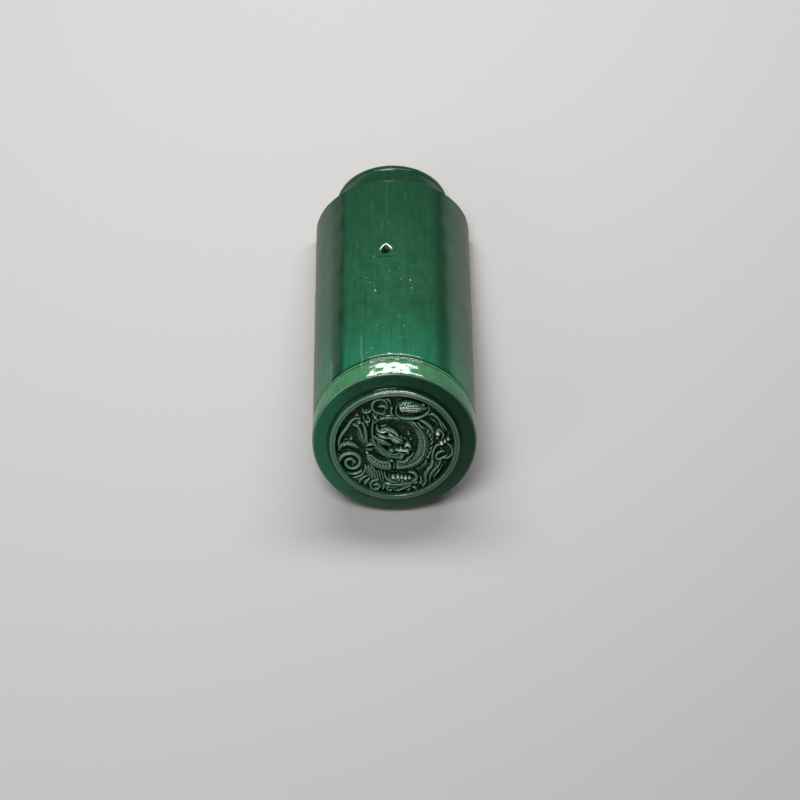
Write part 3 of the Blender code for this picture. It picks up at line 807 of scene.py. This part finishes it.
outline = punch_outline(40)
corners = np.array([(x, y, z) for z in PUNCH_HEIGHTS for x, y in outline])
n = len(outline)
punch_mesh = bpy.data.meshes.new("punch")
punch_mesh.from_pydata(laid_down(corners), [], (
    [(k, (k + 1) % n, n + (k + 1) % n, n + k) for k in range(n)]
    + [tuple(range(n))[::-1], tuple(range(n, 2 * n))]))
punch = placed("punch", punch_mesh)
cut = shell.modifiers.new("nail hole", 'BOOLEAN')
cut.operation = 'DIFFERENCE'
cut.solver = 'EXACT'
cut.object = punch
graph = bpy.context.evaluated_depsgraph_get()
cut_mesh = bpy.data.meshes.new_from_object(shell.evaluated_get(graph), depsgraph=graph)
clean = bmesh.new()
clean.from_mesh(cut_mesh)
bmesh.ops.remove_doubles(clean, verts=clean.verts, dist=SLIVER)
bmesh.ops.dissolve_degenerate(clean, edges=clean.edges, dist=SLIVER)
many_sided = [face for face in clean.faces if 4 < len(face.verts) < END_FACE_SIDES]
bmesh.ops.triangulate(clean, faces=many_sided)
clean.to_mesh(cut_mesh)
clean.free()
bpy.data.objects.remove(punch, do_unlink=True)
bpy.data.objects.remove(shell, do_unlink=True)
cut_mesh.shade_smooth()
cut_mesh.set_sharp_from_angle(angle=radians(42))
print("faces after the cut:", len(cut_mesh.polygons))

# %% [markdown]
# ## One piece of clay
# The disc and the barrel were one piece when they were fired, so their meshes are joined into one. Each
# point keeps its place on the straight tile, how deep the glaze pooled there (a number that also paints
# shade and light), and whether the clay was left bare. The underside, the inside and the end of the
# tongue never saw the glaze.

# %% Join the two and mark each point
def marked(mesh, depth_and_shading=None):
    """Straight-tile places, glaze depth (which also paints shade and light) and bareness of a mesh's
    points.
    """
    places = np.empty(len(mesh.vertices) * 3)
    mesh.vertices.foreach_get("co", places)
    straight = (places.reshape(-1, 3) - tile_origin) * 1000 @ tile_axes.T
    x, y, z = straight.T
    radius = np.hypot(x, z)
    behind_disc = y - disc_back(z)
    if depth_and_shading is not None:
        return straight, depth_and_shading, np.where(behind_disc > -0.6, 1.0, 0.0)
    outside = np.where(y > SHOULDER_Y + 0.4, TONGUE_RADIUS, BARREL_RADIUS - 0.5)
    outside = np.where(np.abs(y - SHOULDER_Y) <= 0.5, TONGUE_RADIUS, outside)
    bare = share_of(outside - 1.2 - radius)
    past = past_hole(x, y)
    # The crease behind the disc gets deeper glaze and is painted darker: pooled glaze and painted shade.
    depth = 0.5 + 0.5 * bell((behind_disc - CREASE_BEHIND) / 1.8)
    # Round the hole's rear half the glaze is made thin, which paints a pale lip: thin glaze and painted
    # highlight.
    rear_half = share_of((y - HOLE_Y + 1.0) / 2.0)
    depth = depth - 1.2 * rear_half * bell((past - 0.3) / 0.9)
    # Painted shadow: deeper glaze right at the shoulder paints a dark line under the step.
    depth = depth + 0.5 * bell((y - SHOULDER_Y) / 1.6)
    # The hole's wall is given the deepest glaze, which paints it dark: painted shade.
    in_hole = (past < 0.5) & (z > 40.0) & (radius < BARREL_RADIUS - 0.8)
    return straight, np.where(in_hole, 1.0, depth), np.where(in_hole, 0.0, bare)


def write_marks(mesh, straight, depth_and_shading, bare):
    place = mesh.attributes.new("tile_place", 'FLOAT_VECTOR', 'POINT')
    place.data.foreach_set("vector", straight.astype(np.float32).ravel())
    for name, values in (("glaze_depth_and_shading", depth_and_shading), ("bare_clay", bare)):
        mark = mesh.attributes.new(name, 'FLOAT', 'POINT')
        mark.data.foreach_set("value", values.astype(np.float32))


write_marks(disc_mesh, *marked(disc_mesh, disc_depth_and_shading))
write_marks(cut_mesh, *marked(cut_mesh))
bm = bmesh.new()
bm.from_mesh(disc_mesh)
bm.from_mesh(cut_mesh)
bmesh.ops.recalc_face_normals(bm, faces=bm.faces)
tile_mesh = bpy.data.meshes.new("glazed_tile")
bm.to_mesh(tile_mesh)
bm.free()
tile = placed("glazed_tile", tile_mesh)
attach(tile, "root")
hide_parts("cap_tile")
tile_mesh.calc_loop_triangles()
print("triangles in the tile:", len(tile_mesh.loop_triangles))

# %% [markdown]
# ## Writing shader sums as plain sums
# A finish is a long sum: so much of this colour where that mask is high. Blender spells every sum as a
# node with two wires. The class below wraps one wire so that the sum can be written as it is thought of,
# and Blender's nodes are made along the way.

# %% Wires that can be added and multiplied
class Wire:
    """One output of a shader node."""

    def __init__(self, bench, socket):
        self.bench = bench
        self.socket = socket

    def sum_with(self, operation, first, second):
        return self.bench.node("ShaderNodeMath", {"operation": operation}, {0: first, 1: second})

    def __add__(self, other):
        return self.sum_with('ADD', self, other)

    __radd__ = __add__

    def __sub__(self, other):
        return self.sum_with('SUBTRACT', self, other)

    def __rsub__(self, other):
        return self.sum_with('SUBTRACT', other, self)

    def __mul__(self, other):
        return self.sum_with('MULTIPLY', self, other)

    __rmul__ = __mul__

    def __abs__(self):
        return self.sum_with('ABSOLUTE', self, 0.0)


class Bench:
    """The nodes of one material."""

    def __init__(self, name):
        self.material = bpy.data.materials.new(name)
        self.material.use_nodes = True
        self.tree = self.material.node_tree
        self.surface = self.tree.nodes["Principled BSDF"]

    def node(self, kind, settings=None, sockets=None, output=0):
        """Makes a node: its settings first, then the values or wires of its sockets."""
        made = self.tree.nodes.new(kind)
        for name, value in (settings or {}).items():
            setattr(made, name, value)
        self.feed(made, sockets or {})
        return Wire(self, made.outputs[output])

    def feed(self, made, sockets):
        for name, value in sockets.items():
            if isinstance(value, Wire):
                self.tree.links.new(value.socket, made.inputs[name])
            else:
                made.inputs[name].default_value = value

    def between(self, low, high, value):
        """0 where value is below low, 1 above high, and a smooth slope between."""
        return self.node("ShaderNodeMapRange", {"interpolation_type": 'SMOOTHSTEP'}, {
            "Value": value, "From Min": low, "From Max": high})

    def mixed(self, share, first, second):
        """A colour between two."""
        return self.node("ShaderNodeMix", {"data_type": 'RGBA'}, {0: share, 6: first, 7: second}, 2)

    def noise(self, place, scale, detail=3.0, roughness=0.55, distortion=0.0):
        return self.node("ShaderNodeTexNoise", {}, {
            "Vector": place, "Scale": scale, "Detail": detail, "Roughness": roughness,
            "Distortion": distortion})

    def distance(self, place, point):
        return self.node("ShaderNodeVectorMath", {"operation": 'DISTANCE'}, {0: place, 1: point}, 1)

    def stretched(self, place, factors):
        return self.node("ShaderNodeVectorMath", {"operation": 'MULTIPLY'}, {0: place, 1: factors})


print("the bench makes a node per sum")

# %% [markdown]
# ## Colours
# Colours are picked as they look on a screen and turned into the linear numbers that light is reckoned in.

# %% Colours of the glaze and the clay
def paint(red, green, blue):
    """A screen colour, 0 to 255, as linear light."""
    def linear(value):
        share = value / 255
        return share / 12.92 if share <= 0.04045 else ((share + 0.055) / 1.055) ** 2.4
    return (linear(red), linear(green), linear(blue), 1.0)


DEEP_GREEN = paint(1, 14, 7)
BAND_GREEN = paint(2, 34, 18)
BOTTLE_GREEN = paint(14, 45, 28)
LEAF_GREEN = paint(26, 66, 45)
TEAL_GREEN = paint(22, 86, 62)
OLIVE_GREEN = paint(54, 98, 64)
THIN_GLAZE_AND_SHEEN = paint(90, 115, 102)
# pale glaze, used mostly as a painted highlight
PALE_GLAZE_AND_HIGHLIGHT = paint(178, 190, 176)
GREY_SKIN_AND_SHEEN = paint(74, 82, 64)
BUFF_CLAY = paint(136, 122, 102)
PINK_CLAY = paint(142, 120, 106)
SCORCHED_CLAY = paint(52, 44, 36)
DUST = paint(158, 156, 150)
print("bottle green in linear light:", [round(v, 3) for v in BOTTLE_GREEN[:3]])

# %% [markdown]
# ## The glaze
# Lead glaze melts to green glass. It runs off ridges and edges, where the clay's grey shows through, and
# pools in hollows. The hollows are also painted nearly black as painted shade, ridge tops are painted
# lighter as a painted sheen, and the tallest tops carry a painted highlight. Down the barrel it ran in
# streaks, it is mottled where it cooled unevenly, and it fades out over the skirts, which stood close to
# their neighbours in the kiln; the skirts' grey is partly a painted sheen as well. Dark bands down both
# flanks are a painted reflection, and the face is painted darker on its right and lighter on its left as
# painted shade and light. Masks for all of that are built from the marks on the points, and a few sorts
# of noise.

# %% Masks over the tile
glaze = Bench("green_glaze")
between = glaze.between
place = glaze.node("ShaderNodeAttribute", {"attribute_name": "tile_place"}, output=1)
depth_and_shading = glaze.node("ShaderNodeAttribute", {"attribute_name": "glaze_depth_and_shading"}, output=2)
bare_mark = glaze.node("ShaderNodeAttribute", {"attribute_name": "bare_clay"}, output=2)


def part_of_place(axis):
    return glaze.node("ShaderNodeSeparateXYZ", {}, {0: place}, axis)


side = part_of_place(0)
down = part_of_place(1)
high = part_of_place(2)
mottle = glaze.noise(place, 0.085, detail=5.0, roughness=0.6, distortion=0.4)
fine = glaze.noise(place, 0.55, detail=4.0, roughness=0.65)
streak = glaze.noise(glaze.stretched(place, (1.0, 0.07, 1.0)), 0.33, detail=4.0, roughness=0.6)
speckle = fine - 0.5
blotch = mottle - 0.5
stripe = streak - 0.5
behind_face = cos(LEAN) * down - sin(LEAN) * (high - FACE_Z)
on_barrel = between(DISC_THICKNESS - 0.2, DISC_THICKNESS + 1.5, behind_face)
on_rim = between(0.8, 2.2, behind_face) * (1.0 - on_barrel)
ragged = speckle * 9.0 + blotch * 22.0 + stripe * 14.0
# Glaze thinning over the skirts, partly a painted sheen: the lower flanks are painted grey.
skirt = on_barrel * (1.0 - between(4.0, 44.0, high + 0.6 * ragged))
dull = on_barrel * (1.0 - between(26.0, 62.0, high + 0.4 * ragged))
edge_bare = on_barrel * (1.0 - between(3.0, 7.5, high + 0.35 * ragged))
# Thin glaze on ridges and edges, and a painted sheen: ridge tops are painted lighter.
thin_glaze_and_sheen = 1.0 - between(-0.25, 0.42, depth_and_shading + speckle * 0.35)
# A pale lip at the nail hole's rear: thin glaze and painted highlight.
pale_lip_and_highlight = 1.0 - between(-0.60, -0.32, depth_and_shading + speckle * 0.1)
from_middle = glaze.distance(place, (MOULD_X, 0.0, FACE_Z + MOULD_Y))
within_ring = between(RING_FOOT + 0.6, RING_FOOT - 0.6, from_middle)
top_of_ring = between(46.0, 56.0, high - FACE_Z)
# Painted highlight: the tallest forms and the top of the ring are painted pale.
painted_highlight = (within_ring + 0.8 * top_of_ring) * between(3.8, 5.7, speckle * 2.4 - behind_face)
# Pooled glaze and painted shade: the hollows are painted nearly black.
deep_and_shade = between(0.55, 0.95, depth_and_shading + speckle * 0.2)
bare = glaze.node("ShaderNodeMath", {"operation": 'MAXIMUM'}, {0: bare_mark, 1: edge_bare})
print("nodes for the masks:", len(glaze.tree.nodes))

# %% Masks for painted reflection bands, face and shoulder
# Painted reflection: two dark bands down the barrel's flanks stand for dark surroundings mirrored in the
# glaze.
LEFT_BAND_X = -51.0
RIGHT_BAND_X = 46.0
left_reflection_band = between(9.0, 2.0, abs(side - LEFT_BAND_X + stripe * 5.0))
right_reflection_band = between(11.0, 2.0, abs(side - RIGHT_BAND_X + stripe * 6.0))
on_face = 1.0 - between(0.3, 1.2, behind_face)
# painted shadow under the shoulder's step
painted_shoulder_shadow = (between(SHOULDER_Y - 3.4, SHOULDER_Y - 1.8, down + speckle)
               * between(SHOULDER_Y + 1.4, SHOULDER_Y + 0.6, down))
behind_shoulder = between(SHOULDER_Y - 0.5, SHOULDER_Y + 0.5, down)
at_the_end = between(TONGUE_END - 3.5, TONGUE_END - 0.5, down + 3.0 * speckle)
print("nodes so far:", len(glaze.tree.nodes))

# %% Layers of colour
LAYERS = (
    # how much of it lies where, and its colour, from the lowest layer up
    (0.75 * between(120.0, 25.0, down) * on_barrel, TEAL_GREEN),
    (0.8 * between(130.0, 262.0, down) * on_barrel, BOTTLE_GREEN),
    (0.40 * between(0.50, 0.72, streak), LEAF_GREEN),
    (0.35 * between(0.52, 0.34, streak), BOTTLE_GREEN),
    # painted shade and light: the face is darker towards the right and lighter teal towards the left
    (0.7 * on_face * between(-20.0, 55.0, side), BAND_GREEN),
    (0.6 * on_face * between(-30.0, -60.0, side), TEAL_GREEN),
    # painted reflection: dark bands down the flanks
    (0.85 * on_barrel * (left_reflection_band + 0.7 * right_reflection_band), BAND_GREEN),
    # grey skirts: thin glaze and painted sheen
    (0.75 * skirt, GREY_SKIN_AND_SHEEN),
    (on_rim * (0.1 + 0.6 * mottle + 0.5 * streak), OLIVE_GREEN),
    # dark hollows: pooled glaze and painted shade
    (0.88 * deep_and_shade, DEEP_GREEN),
    # ridge tops painted lighter: thin glaze and painted sheen
    (0.85 * thin_glaze_and_sheen, THIN_GLAZE_AND_SHEEN),
    # painted highlight on the tallest tops
    (0.9 * painted_highlight * thin_glaze_and_sheen, PALE_GLAZE_AND_HIGHLIGHT),
    # pale lip at the nail hole: thin glaze and painted highlight
    (0.8 * pale_lip_and_highlight, PALE_GLAZE_AND_HIGHLIGHT),
    # painted shadow under the shoulder's step
    (0.9 * painted_shoulder_shadow, DEEP_GREEN),
    (0.45 * behind_shoulder, BAND_GREEN),
    (0.8 * at_the_end, SCORCHED_CLAY))
colour = glaze.mixed(0.25 + 0.6 * between(0.25, 0.75, mottle), BOTTLE_GREEN, LEAF_GREEN)
for amount, layer in LAYERS:
    colour = glaze.mixed(amount, colour, layer)
clay = glaze.mixed(between(0.35, 0.65, mottle), BUFF_CLAY, PINK_CLAY)
clay = glaze.mixed(0.5 * between(0.52, 0.70, fine), clay, DUST)
colour = glaze.mixed(bare, colour, clay)
print(len(LAYERS), "layers of glaze over the ground colour")

# %% Gloss and surface of the glaze
orange_peel = glaze.noise(place, 0.35, detail=2.0)
grain = glaze.noise(place, 2.6, detail=4.0, roughness=0.7)
pits = glaze.node("ShaderNodeTexVoronoi", {}, {"Vector": place, "Scale": 0.16})
pit = between(0.16, 0.07, pits) * between(0.50, 0.58, fine)
peel = orange_peel * 0.22 + fine * 0.03
surface_height = peel * (1.0 - 0.75 * on_rim) + streak * 0.35 + bare * grain * 0.35 - pit * 0.35
roughness = 0.06 + 0.06 * fine + 0.34 * dull + 0.03 * thin_glaze_and_sheen + 0.4 * painted_shoulder_shadow
roughness = roughness + bare * (0.78 - roughness)
print("nodes so far:", len(glaze.tree.nodes))

# %% [markdown]
# ## Faults in the glaze
# A few blisters burst while the glaze was molten, two runs of glaze stopped just behind the disc, and a
# dark crease crosses the crown in front of the nail hole. Each is small and has its own place, so each is
# listed one by one: how far across, how far along, and how large.

# %% Blisters, runs and a crease
BLISTERS = ((-21.4, 135.5, 2.6), (-25.0, 143.0, 1.9), (-16.5, 126.0, 2.2), (16.0, 138.0, 2.0),
            (17.0, 128.5, 1.8), (-27.0, 60.0, 1.4), (-24.0, 52.0, 1.2), (6.0, 92.0, 1.0))
RUNS = ((-29.5, 36.0, 70.0), (-57.0, 34.0, 56.0))
CREASE_Y = HOLE_Y - 8.6
blister = 0.0
burst_and_glint = 0.0
for across_tile, along_tile, size in BLISTERS:
    gap = glaze.distance(
        place, (across_tile, along_tile, (BARREL_RADIUS ** 2 - across_tile ** 2) ** 0.5))
    blister = blister + between(size, 0.4 * size, gap)
    # pale cores: bared glaze and painted glints
    burst_and_glint = burst_and_glint + between(0.36 * size, 0.12 * size, gap)
run = 0.0
for across_tile, start, end in RUNS:
    off_line = abs(side - across_tile + blotch * 6.0 + speckle * 3.0)
    run = run + (between(1.1, 0.2, off_line) * between(start - 4.0, start, down)
                 * between(end + 6.0, end, down))
crease = (between(1.1, 0.3, abs(down - CREASE_Y + speckle * 2.0))
          * between(12.0, 6.0, abs(side - HOLE_X)) * between(60.0, 66.0, high))
surface_height = surface_height + blister * 0.5 + run * 0.15 - crease * 0.08
bump = glaze.node("ShaderNodeBump", {}, {
    "Height": surface_height, "Strength": 0.40, "Distance": 0.0007})
# blister cores painted pale: bared glaze and painted glints
for amount, layer in ((0.3 * run, THIN_GLAZE_AND_SHEEN), (0.6 * crease, DEEP_GREEN), (0.9 * blister, DEEP_GREEN),
                      (0.75 * burst_and_glint, PALE_GLAZE_AND_HIGHLIGHT)):
    colour = glaze.mixed(amount, colour, layer)
glaze.feed(glaze.surface, {
    "Base Color": colour, "Roughness": roughness, "Normal": bump, "IOR": 1.38})
tile_mesh.materials.append(glaze.material)
print(len(BLISTERS), "blisters,", len(RUNS), "runs and a crease")

# %% [markdown]
# ## The floor's finish
# The floor is plain and matt, pale as studio paper.

# %% Paper floor
paper = Bench("studio_paper")
paper.feed(paper.surface, {
    "Base Color": paint(139, 138, 137), "Roughness": 0.9, "Specular IOR Level": 0.2})
floor_mesh.materials.append(paper.material)
print("floor finished")
